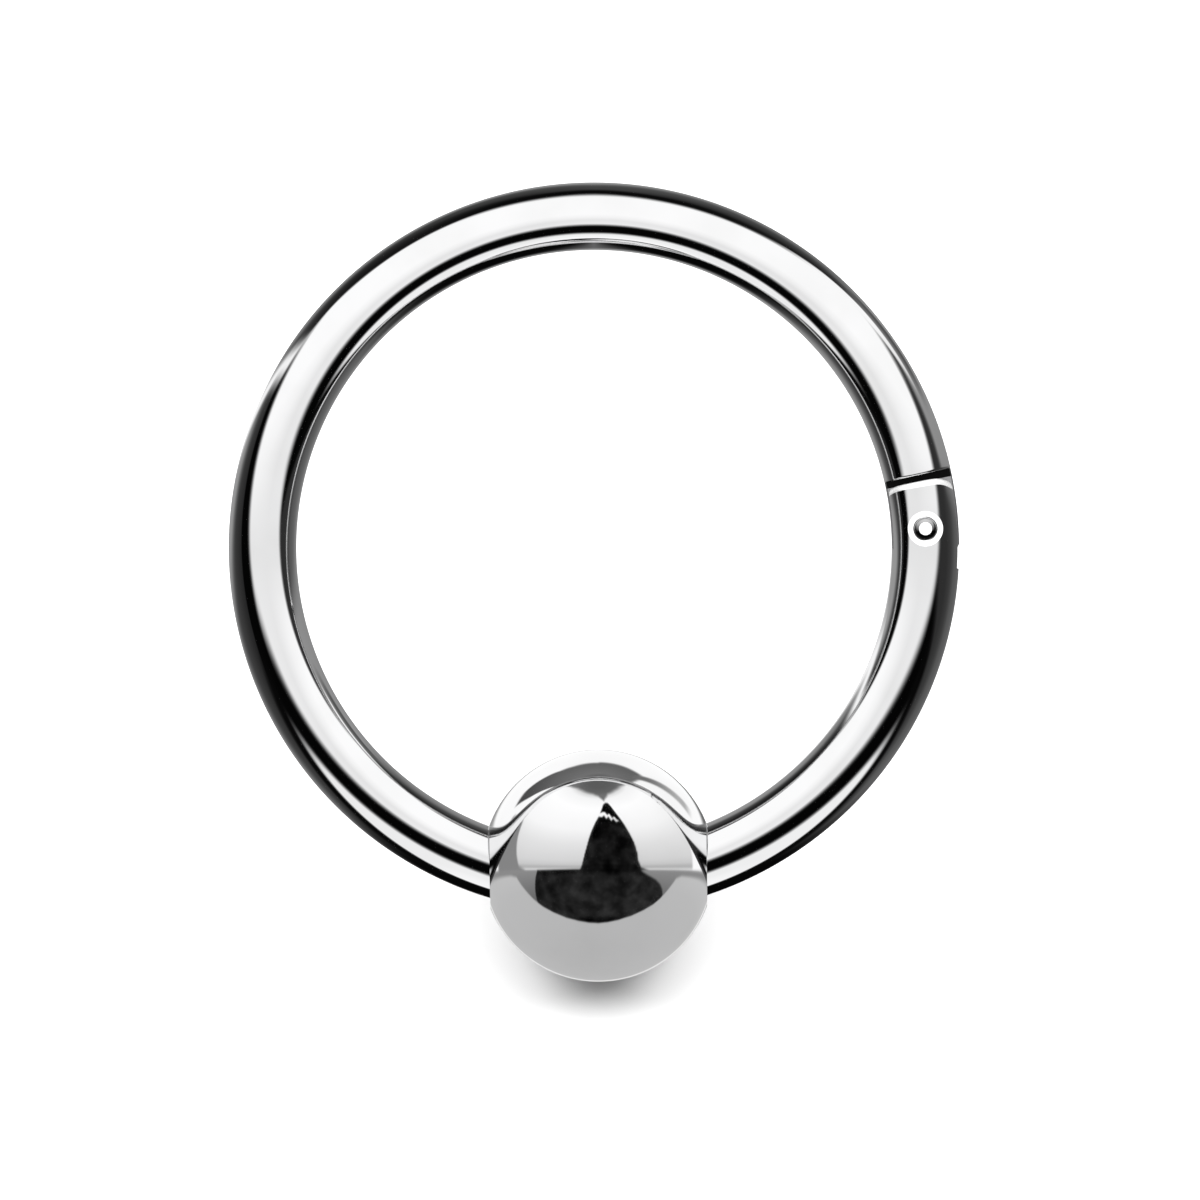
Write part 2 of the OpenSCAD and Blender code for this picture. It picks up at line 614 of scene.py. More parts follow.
@dataclass(frozen=True)
class PolishedSteel:
    """Tumbled and buffed surgical steel, duller on the joint's own faces.

    Steel of bright reflectance and smooth roughness has dim, hazy patches, haze_mm wide, which
    start and are full where a noise is at haze_range. Buffing lines run along the hoop and add
    line_roughness. The worked faces are the joint's cut ones, the freshly ground bevel, sinks
    and rivet, which scatter light and of which bright_metal is a mirror's share, and those with
    polishing soot, in the split and round the rivet.
    """

    name: str
    bright: tuple[float, float, float] = (0.90, 0.90, 0.905)
    dim: tuple[float, float, float] = (0.86, 0.86, 0.862)
    haze_mm: float = 1.5
    haze_range: tuple[float, float] = (0.35, 0.7)
    haze_detail: float = 3.0
    smooth: float = 0.035
    hazy: float = 0.06
    lines_per_mm: float = 12.0
    lines_per_radian: float = 2.0
    line_height_mm: float = 0.00002
    line_roughness: float = 0.01
    worked: tuple[WorkedLook, ...] = (
        WorkedLook(Face.CUT, (0.42, 0.42, 0.425), 0.4),
        WorkedLook(Face.BRIGHT, (0.97, 0.97, 0.97), 0.35),
        # painted shade: near black, for the shade in the split and round the rivet's edge
        WorkedLook(Face.PAINTED_SHADE, (0.006, 0.006, 0.006), 0.3),
    )
    bright_metal: float = 0.6

    def material(self, sizes: RingSizes) -> Material:
        """Make the material.

        Args:
            sizes: The ring's sizes, for the lines that run round the hoop.

        Returns:
            The material.
        """
        made = bpy.data.materials.new(self.name)
        shader = Shader(made)
        place = shader.place()
        haze = shader.noise(place, 1 / (self.haze_mm * MM), self.haze_detail).eased(*self.haze_range)
        lines = self._buffing_lines(shader, sizes, place)
        marks = shader.split(shader.attribute("worked", "Vector"))
        colour = shader.mix_colour(haze, (*self.bright, 1.0), (*self.dim, 1.0))
        roughness = (self.hazy - self.smooth) * haze + self.smooth + self.line_roughness * lines
        # the marks mix in the cut and bright looks, and the painted shade
        for look in self.worked:
            mark = marks[look.face.value]
            colour = shader.mix_colour(mark, colour, (*look.colour, 1.0))
            roughness = roughness.mixed(look.roughness, mark)
        relief = {"Strength": 1.0, "Distance": self.line_height_mm * MM, "Height": lines}
        shader.close("ShaderNodeBsdfPrincipled", {
            "Base Color": colour,
            "Metallic": 1.0 - marks[Face.BRIGHT.value] * (1.0 - self.bright_metal),
            "Roughness": roughness,
            "Normal": shader.node("ShaderNodeBump", inputs=relief).outputs[0],
        })
        return made

    def _buffing_lines(self, shader: Shader, sizes: RingSizes, place: NodeSocket) -> Value:
        """Fine lines that run along the hoop.

        Noise is read at the angle along the hoop, which changes slowly, and at the distance
        from the hoop's centre and the height, which change fast. The angle's size is used
        without its sign, so that the lines meet where the angle starts anew.

        Args:
            shader: The material's nodes.
            sizes: The ring's sizes.
            place: The point shaded.

        Returns:
            The lines, from 0 to 1.
        """
        x, y, z = shader.split(place)
        across = y - sizes.hoop_shift * MM
        angle = abs(shader.math("ARCTAN2", across, x))
        reach = shader.math("SQRT", x * x + across * across)
        fine = self.lines_per_mm / MM
        return shader.noise(shader.vector(angle * self.lines_per_radian, reach * fine, z * fine), 1.0)


class SteelPiece(ABC):
    """A piece of the ring: one closed surface that stands for one packed solid."""

    node: ClassVar[str]
    name: ClassVar[str]
    body: ClassVar[Body]
    slot: ClassVar[Slot]
    sizes: RingSizes

    @abstractmethod
    def surface(self) -> Shell:
        """Work out the piece's surface."""

    @abstractmethod
    def from_core(self, points: Array) -> tuple[Array, float]:
        """Offsets of points from the piece's core, and their length on the polished surface."""

    def polished(self, points: Array) -> tuple[Array, Array]:
        """Exact normals q / |q| of points, with q the offset from the piece's core.

        Args:
            points: Upright points in millimetres.

        Returns:
            The normals, and which points lie on the polished surface.
        """
        offset, radius = self.from_core(points)
        length = np.linalg.norm(offset, axis=1)
        return offset / np.maximum(length, ON_SURFACE)[:, None], np.abs(length - radius) < ON_SURFACE

    def build(self, lying: Lying) -> Object:
        """Make the piece's object, laid down on the floor."""
        return self.surface().to_object(self.name, lying, self.polished)

    def dress(self, made: Object, finish: PolishedSteel) -> None:
        """Give the piece its finish and its place in the frame.

        Args:
            made: The piece's object.
            finish: Its finish.
        """
        made.data.materials.append(finish.material(self.sizes))
        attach(made, self.body.value)
        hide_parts(self.node)


class WirePiece(SteelPiece):
    """A piece cut from the hoop's round wire, with the steps over its sides and its flat faces."""

    side_steps: ClassVar[int] = 16
    face_steps: ClassVar[int] = 48

    @property
    @abstractmethod
    def edge(self) -> float:
        """Angle round the wire at which the flat face of the tongue or slot cuts its surface."""

    @property
    def turns(self) -> Array:
        """Angles round the wire, in radians, that fall on the edges of that face.

        Evenly from -e to e over the outer side, then to pi - e over the front, to pi + e over
        the inner side and to 2 pi - e over the back, with the last angle left out.

        Returns:
            The angles.
        """
        e = self.edge
        stops = [-e, e, math.pi - e, math.pi + e, FULL_TURN - e]
        steps = [self.side_steps, self.face_steps] * 2
        return np.concatenate([np.linspace(a, b, n + 1)[:-1] for a, b, n in zip(stops, stops[1:], steps)])

    def wire(self, side: Side, last: Array | float, rows: int) -> Array:
        """Rows of the wire's skin, from its cut end at the ball to a last angle along the hoop."""
        along = between(self.sizes.seat_cut(side, self.turns), last, rows)
        return self.sizes.wire_point(along, self.turns, self.sizes.wire_r)

    def seat(self, side: Side, middle: Array, rows: int) -> Array:
        """Rows of the wire's cut end: its peg or dome, then flat out to the wire's edge."""
        rim = self.wire(side, 0.0, 1)[0]
        return np.concatenate([middle, between(middle[-1], rim, rows)[1:]])

    def from_core(self, points: Array) -> tuple[Array, float]:
        """Offsets of points from the wire's middle line, and the wire's radius.

        The offset is (s x, s y, z), with s = 1 - R / p at a distance p from the hoop's axis.

        Args:
            points: Upright points in millimetres.

        Returns:
            The offsets and the radius.
        """
        x, y, z = points.T
        share = 1.0 - self.sizes.hoop_r / np.hypot(x, y)
        return stacked(share * x, share * y, z), self.sizes.wire_r


@dataclass
class MainRing(WirePiece):
    """The long arc, from the click dome at the ball over the top to the tongue at the hinge."""

    node: ClassVar[str] = "main_ring"
    name: ClassVar[str] = "main_ring_wire"
    body: ClassVar[Body] = Body.RING
    slot: ClassVar[Slot] = Slot.HOOP

    sizes: RingSizes
    edge_length: float = 0.04
    edge_depth: float = 0.024
    root_length: float = 0.13
    dome_rows: int = 14
    seat_rows: int = 6
    arc_rows: int = 440
    edge_rows: int = 10
    shoulder_rows: int = 4
    root_rows: int = 4
    face_rows: int = 7
    bore_rows: int = 5
    length_steps: int = 16
    end_steps: int = 32

    @property
    def root_turn(self) -> float:
        """Place along the hoop, in radians, where the tongue's dark root ends."""
        return self.sizes.shoulder_turn - self.root_length / self.sizes.hoop_r

    @property
    def edge(self) -> float:
        """Angle round the wire at which the tongue's flat face starts."""
        return math.asin(self.sizes.tongue_t / 2 / self.sizes.tongue_wire_r)

    def surface(self) -> Shell:
        """The dome and the wire from the ball to the shoulder, and the tongue beyond it.

        Returns:
            The surface.
        """
        shell = Shell()
        shell.grid(self._dome(), ring=True)
        shell.grid(self._arc(), ring=True)
        shell.grid(self._shoulder(), ring=True, face=Face.CUT)
        self._tongue(shell)
        return shell

    def _dome(self) -> Array:
        """The click dome, a ball's cap, then flat out to the wire's edge.

        Returns:
            The rows of points, from the dome's top outward.
        """
        sizes, dome_r = self.sizes, self.sizes.dome_r
        rim = math.acos((dome_r - sizes.dome_h - sizes.seat_gap) / dome_r)
        swing = np.linspace(0.0, rim, self.dome_rows)[:, None]
        depth = sizes.dome_centre - dome_r * np.cos(swing)
        cap = sizes.seat_point(Side.LEFT, depth, dome_r * np.sin(swing), self.turns)
        return self.seat(Side.LEFT, cap, self.seat_rows)

    def _arc(self) -> Array:
        """The wire from its cut end to the shoulder, then the shoulder's eased edge.

        The edge is a quarter of an ellipse: the radius falls by d (1 - cos e) while the angle
        along the hoop runs the last l (1 - sin e) to the shoulder. Beside the tongue it falls
        only to the tongue's own radius.

        Returns:
            The rows of points.
        """
        sizes, run = self.sizes, self.edge_length / self.sizes.hoop_r
        wire = self.wire(Side.LEFT, sizes.shoulder_turn + run, self.arc_rows)
        ease = np.linspace(0.0, math.pi / 2, self.edge_rows)[1:, None]
        radius = sizes.wire_r - self._edge_fall * (1 - np.cos(ease))
        edge = sizes.wire_point(sizes.shoulder_turn + run * (1 - np.sin(ease)), self.turns, radius)
        return np.concatenate([wire, edge])

    @property
    def _edge_fall(self) -> Array:
        """How far the shoulder's edge falls: d, or down to the tongue where the tongue leaves it."""
        beside = np.abs(np.sin(self.turns)) <= math.sin(self.edge) + ON_SURFACE
        return np.where(beside, self.sizes.wire_r - self.sizes.tongue_wire_r, self.edge_depth)

    def _shoulder(self) -> Array:
        """The flat shoulder, from its edge in to the outline of the tongue's root.

        Returns:
            The rows of points.
        """
        sizes, edge = self.sizes, self.edge
        rim = sizes.wire_point(sizes.shoulder_turn, self.turns, sizes.wire_r - self._edge_fall)
        side = np.linspace(-edge, edge, self.side_steps + 1)[:-1]
        width = sizes.tongue_wire_r * math.cos(edge)
        across = np.linspace(width, -width, self.face_steps + 1)[:-1]
        out = np.concatenate([sizes.tongue_wire_r * np.cos(side), across])
        up = np.concatenate([sizes.tongue_wire_r * np.sin(side), np.full(across.shape, sizes.tongue_t / 2)])
        reach = sizes.hoop_r + np.concatenate([out, -out])
        root = polar(reach, sizes.shoulder_turn, np.concatenate([up, -up]))
        return between(rim, root, self.shoulder_rows)

    def _tongue(self, shell: Shell) -> None:
        """Add the tongue: a flat bar of the wire with a round end, bored for the pin.

        At height z it is w = sqrt(t t - z z) wide to each side, t being its wire's radius. Its
        root, which stands in the split, is dark. Below it the flanks run down to where they
        meet the end, which is an arc about the pin.

        Args:
            shell: The surface it is added to.
        """
        sizes, turns = self.sizes, np.linspace(-self.edge, self.edge, self.side_steps + 1)[:, None]
        height, width = sizes.tongue_wire_r * np.sin(turns), sizes.tongue_wire_r * np.cos(turns)
        root = np.linspace(sizes.shoulder_turn, self.root_turn, self.root_rows)
        across = sizes.hoop_r + width[-1] * np.linspace(1.0, -1.0, self.face_steps + 1)[:, None]
        front = polar(across, root, sizes.tongue_t / 2)
        # the root's flanks and faces stand in the split: painted shade, near black
        for sign, face in ((1, front), (-1, front * FLIP)):
            shell.grid(polar(sizes.hoop_r + sign * width, root, height), face=Face.PAINTED_SHADE)
            shell.grid(face, face=Face.PAINTED_SHADE)
        outer, inner = (self._flank(sizes.hoop_r + sign * width, height) for sign in (1, -1))
        first, last = (sizes.bearing(flank[:, -1:]) for flank in (outer, inner))
        swing = first + (last - first) * np.linspace(0.0, 1.0, self.end_steps + 1)[None, 1:-1]
        end = sizes.about_pin(sizes.tongue_end_r, swing, height)
        wall = np.concatenate([outer, end, inner[:, ::-1]], axis=1)
        shell.grid(wall, face=Face.CUT)
        top = wall[-1]
        loop = np.concatenate([top, between(top[-1], top[0], self.face_steps + 1)[1:-1]])
        bore_r = sizes.pin_d / 2 + sizes.running_gap
        bore = sizes.about_pin(bore_r, sizes.bearing(loop), sizes.tongue_t / 2)
        shell.pair(between(bore, loop, self.face_rows), ring=True, face=Face.CUT)
        shell.grid(between(bore, bore * FLIP, self.bore_rows), ring=True, face=Face.CUT)

    def _flank(self, reach: Array, height: Array) -> Array:
        """One flank of the tongue, from below its root down to the circle of its end.

        Args:
            reach: Its distances from the hoop's centre, as one column.
            height: Its heights there.

        Returns:
            The points, by height and by place down the flank.
        """
        sizes = self.sizes
        last = sizes.pin_turn - sizes.past_pin(reach, sizes.tongue_end_r)
        share = np.linspace(0.0, 1.0, self.length_steps + 1)
        return polar(reach, (1 - share) * self.root_turn + share * last, height)


@dataclass
class HingedSegment(WirePiece):
    """The short arc that swings open, from the peg in the ball to the fork at the hinge."""

    node: ClassVar[str] = "hinged_segment"
    name: ClassVar[str] = "hinged_segment_wire"
    body: ClassVar[Body] = Body.SEGMENT
    slot: ClassVar[Slot] = Slot.HOOP

    sizes: RingSizes
    sink_d: float = 0.62
    sink_floor_z: float = 0.504
    bevel_length: float = 0.1
    bevel_depth: float = 0.06
    corner_blend: float = 203.0
    peg_steps: tuple[int, int] = (5, 11)
    seat_rows: int = 5
    arc_rows: int = 130
    prong_rows: int = 26
    sink_rows: int = 4
    bore_rows: int = 5
    inside_rows: int = 9
    end_rows: int = 7
    length_steps: int = 32
    bevel_steps: int = 10

    @property
    def slot_half(self) -> float:
        """Half the width of the slot for the tongue."""
        return self.sizes.tongue_t / 2 + self.sizes.running_gap

    @property
    def edge(self) -> float:
        """Angle round the wire at which the slot's face starts."""
        return math.asin(self.slot_half / self.sizes.wire_r)

    def surface(self) -> Shell:
        """The peg, the wire up to the slot's floor, and the fork's two prongs.

        Returns:
            The surface.
        """
        shell = Shell()
        shell.grid(self._peg(), ring=True)
        shell.grid(self._arc(), ring=True)
        shell.grid(self._slot_floor(), face=Face.CUT)
        self._prongs(shell)
        return shell

    def _peg(self) -> Array:
        """The peg's end and side, then flat out to the wire's edge.

        Returns:
            The rows of points, from the middle of the peg's end.
        """
        sizes, peg_r = self.sizes, self.sizes.peg_d / 2
        tip, root = sizes.flat_distance - sizes.peg_length, sizes.flat_distance + sizes.seat_gap
        depth, radius = legs([(tip, 0.0), (tip, peg_r), (root, peg_r)], self.peg_steps)
        peg = sizes.seat_point(Side.RIGHT, depth, radius, self.turns)
        return self.seat(Side.RIGHT, peg, self.seat_rows)

    def _arc(self) -> Array:
        """The wire from its cut end to the slot's floor."""
        last = self._floor_turn(self.sizes.wire_r * np.cos(self.turns))
        return self.wire(Side.RIGHT, last, self.arc_rows)

    @property
    def _floor_steps(self) -> int:
        """Steps across the slot's floor, which leave room for the bevel's two edges."""
        return self.face_steps - 2 * self.bevel_steps

    def _floor_turn(self, out: Array) -> Array:
        """Where the slot's floor is, at a distance out from the middle line.

        It is straight on the outer side, and on the inner side an arc about the pin, which
        touches the straight line nearest the pin.

        Args:
            out: Distances out from the middle line.

        Returns:
            Angles along the hoop, in radians.
        """
        sizes = self.sizes
        reach = sizes.hoop_r + out
        nearest = sizes.hoop_r * math.cos(sizes.pin_turn - sizes.slot_turn)
        arc = sizes.pin_turn - sizes.past_pin(np.minimum(reach, nearest), sizes.slot_depth)
        return np.where(reach < nearest, arc, sizes.slot_turn)

    def _slot_floor(self) -> Array:
        """The slot's floor, between the wire's two sides.

        Returns:
            The points, by height and from the outer side inward.
        """
        sizes = self.sizes
        turns = np.linspace(-self.edge, self.edge, self.side_steps + 1)[:, None]
        out = sizes.wire_r * np.cos(turns) * np.linspace(1.0, -1.0, self._floor_steps + 1)
        return polar(sizes.hoop_r + out, self._floor_turn(out), sizes.wire_r * np.sin(turns))

    def _end_turn(self, out: Array) -> Array:
        """Where the fork ends, at a distance out from the middle line.

        The end is the nearer of a straight cut across the wire and a circle about the pin; the
        two are blended by the soft minimum -log(exp(-k a) + exp(-k b)) / k.

        Args:
            out: Distances out from the middle line.

        Returns:
            Angles along the hoop, in radians.
        """
        sizes = self.sizes
        corner_r = sizes.shoulder_distance - sizes.running_gap
        corner = sizes.pin_turn + sizes.past_pin(sizes.hoop_r + out, corner_r)
        k = self.corner_blend
        return -np.logaddexp(-k * corner, -k * sizes.fork_turn) / k

    def _bevel(self) -> tuple[Array, Array]:
        """The eased edge round the fork's end, and the flat end down to the slot.

        Along the bevel the radius is q = r - d (1 - cos e) and the place is the end's less
        (l / R) (1 - sin e); each row spans the turns at which q sin t clears the slot.

        Returns:
            The bevel's rows of points, and the end's.
        """
        sizes = self.sizes
        ease = np.linspace(0.0, math.pi / 2, self.bevel_steps + 1)[:, None]
        radius = sizes.wire_r - self.bevel_depth * (1 - np.cos(ease))
        edge = np.arcsin(self.slot_half / radius)
        turns = edge + np.linspace(0.0, 1.0, self.face_steps + 1) * (math.pi - 2 * edge)
        out = radius * np.cos(turns)
        along = self._end_turn(out) - self.bevel_length / sizes.hoop_r * (1 - np.sin(ease))
        bevel = polar(sizes.hoop_r + out, along, radius * np.sin(turns))
        foot = stacked(bevel[-1, :, 0], bevel[-1, :, 1], self.slot_half)
        return bevel, between(bevel[-1], foot, self.end_rows)

    def _crest_turn(self, out: Array) -> Array:
        """Where along the hoop the bevel starts, at a distance out from the middle line."""
        return self._end_turn(out) - self.bevel_length / self.sizes.hoop_r

    @property
    def _sides(self) -> Array:
        """Angles along the hoop up the prong's outer side and up its inner side, in radians."""
        out = self.sizes.wire_r * math.cos(self.edge) * np.array([1.0, -1.0])
        return between(self._floor_turn(out), self._crest_turn(out), self.length_steps + 1).T

    def _face_outline(self) -> tuple[Array, Array]:
        """The outline of the front prong's polished face.

        It is walked from the middle of the slot's floor, outward first: along the floor, up
        the outer side, along the bevel, down the inner side and back along the floor.

        Returns:
            Its angles along the hoop and round the wire, in radians.
        """
        half = self.face_steps // 2
        front = np.linspace(self.edge, math.pi - self.edge, self.face_steps + 1)
        out = self.sizes.wire_r * np.cos(front)
        foot, crest = self._floor_turn(out), self._crest_turn(out)
        rise, fall = self._sides
        along = [foot[half:0:-1], rise[:-1], crest[:-1], fall[:0:-1], foot[:half:-1]]
        outer, inner = np.repeat(front[[0, -1]], self.length_steps).reshape(2, -1)
        turn = [front[half:0:-1], outer, front[:-1], inner, front[:half:-1]]
        return np.concatenate(along), np.concatenate(turn)

    def _inside_outline(self, bevel: Array, end: Array) -> Array:
        """The outline of the prong's inside, walked as that of its polished face.

        Args:
            bevel: The bevel's rows of points.
            end: The flat end's.

        Returns:
            The points.
        """
        floor, half = self._slot_floor()[-1], self._floor_steps // 2
        width = self.sizes.wire_r * math.cos(self.edge)
        outer, inner = (
            polar(self.sizes.hoop_r + out, side, self.slot_half)
            for out, side in zip((width, -width), self._sides)
        )
        return np.concatenate([
            floor[half:0:-1], outer[:-1], bevel[:-1, 0], end[-1, :-1],
            bevel[:0:-1, -1], inner[:0:-1], floor[:half:-1],
        ])

    def _prongs(self, shell: Shell) -> None:
        """Add the fork's two prongs, the back one as the front one's mirror image.

        The polished face is spread evenly, in angles along and round the wire, between the
        sink's rim and the outline of the prong. Circles about the pin have their points midway
        between the bearings of the two outlines' points.

        Args:
            shell: The surface they are added to.
        """
        sizes = self.sizes
        bevel, end = self._bevel()
        along, turn = self._face_outline()
        inside = self._inside_outline(bevel, end)
        outside = sizes.wire_point(along, turn, sizes.wire_r)
        angle = (np.unwrap(sizes.bearing(outside)) + np.unwrap(sizes.bearing(inside))) / 2
        rim_x, rim_y, _ = sizes.about_pin(self.sink_d / 2, angle, 0.0).T
        rim_along = np.arctan2(rim_y, rim_x)
        rim_turn = np.arccos((np.hypot(rim_x, rim_y) - sizes.hoop_r) / sizes.wire_r)
        face_along = between(rim_along, along, self.prong_rows)
        face_turn = between(rim_turn, turn, self.prong_rows)
        shell.pair(sizes.wire_point(face_along, face_turn, sizes.wire_r), ring=True)
        bore_r = sizes.pin_d / 2 + sizes.fixed_gap
        well = [
            sizes.wire_point(rim_along, rim_turn, sizes.wire_r),
            sizes.about_pin(self.sink_d / 2, angle, self.sink_floor_z),
            sizes.about_pin(bore_r, angle, self.sink_floor_z),
            sizes.about_pin(bore_r, angle, self.slot_half),
            inside,
        ]
        rows = (self.sink_rows, self.sink_rows, self.bore_rows, self.inside_rows)
        faces = (Face.BRIGHT, Face.BRIGHT, Face.CUT, Face.CUT)
        for first, last, count, face in zip(well, well[1:], rows, faces):
            shell.pair(between(first, last, count), ring=True, face=face)
        shell.pair(bevel, face=Face.BRIGHT)
        shell.pair(end, face=Face.CUT)


@dataclass
class HingePin(SteelPiece):
    """The riveted pin, flat at both ends and rounded at their edges."""

    node: ClassVar[str] = "hinge_pin"
    name: ClassVar[str] = "hinge_pin_rivet"
    body: ClassVar[Body] = Body.SEGMENT
    slot: ClassVar[Slot] = Slot.PIN

    sizes: RingSizes
    head_z: float = 0.588
    edge_r: float = 0.0902
    # painted shade on the rivet's edge: its darkness, and how much it lightens towards the top
    edge_shade_share: float = 0.84
    edge_shade_swing: float = 0.5
    flat_steps: int = 5
    edge_steps: int = 19
    side_steps: int = 13
    round_steps: int = 128

    def surface(self) -> Shell:
        """A profile turned about the pin's axis: end, edge, side, and their mirror image.

        The edge is at height h - e + e cos s and radius r - e + e sin s, e being its radius. It
        is dull by d - w sin a, where a is the direction from the axis: least at the top.

        Returns:
            The surface.
        """
        shell = Shell()
        pin_r, flat = self.sizes.pin_d / 2, self.flat_steps
        flat_r = pin_r - self.edge_r
        swing = np.linspace(0.0, math.pi / 2, self.edge_steps + 1)
        edge_r, edge_z = flat_r + self.edge_r * np.sin(swing), self.head_z - self.edge_r * (1 - np.cos(swing))
        cap_r = np.concatenate([np.linspace(0.0, flat_r, flat + 1)[:-1], edge_r])
        cap_z = np.concatenate([np.full(flat, self.head_z), edge_z])
        side_z = np.linspace(cap_z[-1], -cap_z[-1], self.side_steps + 1)[1:-1]
        radius = np.concatenate([cap_r, np.full(side_z.shape, pin_r), cap_r[::-1]])[:, None]
        height = np.concatenate([cap_z, side_z, -cap_z[::-1]])[:, None]
        angle = np.linspace(0.0, FULL_TURN, self.round_steps, endpoint=False)
        points = self.sizes.about_pin(radius, angle, height)
        # painted shade: the rivet's edge and side darker below and at the sides than at the top
        edge_shade = np.clip(self.edge_shade_share - self.edge_shade_swing * np.sin(angle), 0.0, 1.0)
        shell.grid(points[:flat + 1], ring=True, face=Face.BRIGHT)
        shell.grid(points[flat:-flat], ring=True, face=Face.PAINTED_SHADE, share=edge_shade)
        shell.grid(points[-flat - 1:], ring=True, face=Face.BRIGHT)
        return shell

    def from_core(self, points: Array) -> tuple[Array, float]:
        """Offsets of points from the pin less its edge's radius all round, and that radius.

        The offset is (s x, s y, u) at x and y from the pin's axis: s is the share of that
        distance outside the core, and u how far the point is above or below it.

        Args:
            points: Upright points in millimetres.

        Returns:
            The offsets and the radius.
        """
        x, y, z = (points - np.array([*self.sizes.pin_centre, 0.0])).T
        radius = np.maximum(np.hypot(x, y), ON_SURFACE)
        share = np.maximum(radius - (self.sizes.pin_d / 2 - self.edge_r), 0.0) / radius
        up = np.sign(z) * np.maximum(np.abs(z) - (self.head_z - self.edge_r), 0.0)
        return stacked(share * x, share * y, up), self.edge_r


@dataclass
class Ball(SteelPiece):
    """The ball, with a flat for each end of the wire, the peg's bore and the dome's hollow."""

    node: ClassVar[str] = "ball"
    name: ClassVar[str] = "ball_drilled"
    body: ClassVar[Body] = Body.SEGMENT
    slot: ClassVar[Slot] = Slot.BALL

    sizes: RingSizes
    skin_rows: int = 230
    bore_steps: tuple[int, int, int] = (4, 11, 4)
    flat_steps: int = 4
    hollow_rows: int = 12
    round_steps: int = 256

    def surface(self) -> Shell:
        """The bore and its flat, the ball between the flats, then the other flat and hollow.

        Returns:
            The surface.
        """
        shell = Shell()
        turns = np.linspace(0.0, FULL_TURN, self.round_steps, endpoint=False)
        for side, profile, face in (
            (Side.RIGHT, self._bore(), Face.CUT),
            (Side.RIGHT, self._skin(), Face.POLISHED),
            (Side.LEFT, self._hollow(), Face.CUT),
        ):
            shell.grid(self.sizes.seat_point(side, *profile, turns), ring=True, face=face)
        return shell

    def _bore(self) -> Array:
        """Depths and radii of the bore's floor and side, then of the flat out to the skin.

        Returns:
            The depths and the radii, each as one column.
        """
        sizes, flat = self.sizes, self.sizes.flat_distance
        floor, bore_r = flat - sizes.peg_length - sizes.running_gap, sizes.peg_d / 2 + sizes.fixed_gap
        corners = [(floor, 0.0), (floor, bore_r), (flat, bore_r), (flat, sizes.seat_d / 2)]
        return legs(corners, self.bore_steps)

    def _skin(self) -> tuple[Array, Array]:
        """Depths R sin l and radii R cos l of the ball's skin, from flat to flat.

        Returns:
            The depths and the radii, each as one column.
        """
        limit = math.asin(self.sizes.flat_distance / self.sizes.ball_r)
        latitude = np.linspace(limit, -limit, self.skin_rows)[:, None]
        return self.sizes.ball_r * np.sin(latitude), self.sizes.ball_r * np.cos(latitude)

    def _hollow(self) -> Array:
        """Depths and radii of the other flat in from the skin, then of the hollow for the dome.

        Returns:
            The depths and the radii, each as one column.
        """
        sizes, flat = self.sizes, self.sizes.flat_distance
        hollow_r = sizes.dome_r + sizes.running_gap
        rim = math.acos((sizes.dome_r - sizes.dome_h) / hollow_r)
        swing = np.linspace(rim, 0.0, self.hollow_rows)[1:, None]
        hollow = np.stack([sizes.dome_centre - hollow_r * np.cos(swing), hollow_r * np.sin(swing)])
        edge = [(flat, sizes.seat_d / 2), (flat, hollow_r * math.sin(rim))]
        return np.concatenate([legs(edge, [self.flat_steps]), hollow], axis=1)

    def from_core(self, points: Array) -> tuple[Array, float]:
        """Offsets of points from the ball's centre, and the ball's radius."""
        return points + np.array([0.0, self.sizes.ball_drop, 0.0]), self.sizes.ball_r


@dataclass(frozen=True)
class Panel:
    """A lit card or a dark gap on the wall of a light tent, between two lines of corners.

    Corners are (azimuth, elevation) in degrees, seen from the tent's centre. Azimuth turns
    from the camera to the right, and elevation from there to the picture's top.

    Attributes:
        shades: Pairs of elevation and shade, the shade as it shows in the steel, 0 to 255.
        lower: The panel's lower line, from left to right.
        upper: Its upper line, from the same left to the same right.
        soft: Width of its upper and lower edges, in degrees.
        side_soft: Width of its left and right edges, in degrees.
        drift: Pairs of azimuth and what is added to the shade there.
        mottle: How far the grain lifts and lowers the shade.
    """

    shades: Corners
    lower: Corners
    upper: Corners
    soft: float = 3.0
    side_soft: float = 3.0
    drift: Corners = ((0.0, 0.0),)
    mottle: float = 0.0

    def painted(self, wall: Array, mottle: Array, azimuth: Array, elevation: Array) -> tuple[Array, Array]:
        """Lay the panel over the wall: w + (s - w) m, with m the panel's cover.

        Args:
            wall: The wall's shades so far.
            mottle: Its mottle so far.
            azimuth: Azimuths of the wall's points, in degrees.
            elevation: Their elevations, in degrees.

        Returns:
            The shades and the mottle with the panel.
        """
        low, high = line(azimuth, self.lower), line(azimuth, self.upper)
        cover = eased(elevation - low, self.soft) * eased(high - elevation, self.soft)
        left, right = self.lower[0][0], self.lower[-1][0]
        if left > -180.0:
            cover *= eased(azimuth - left, self.side_soft)
        if right < 180.0:
            cover *= eased(right - azimuth, self.side_soft)
        shade = line(azimuth, self.drift) + line(elevation, self.shades)
        return wall + (shade - wall) * cover, mottle + (self.mottle - mottle) * cover


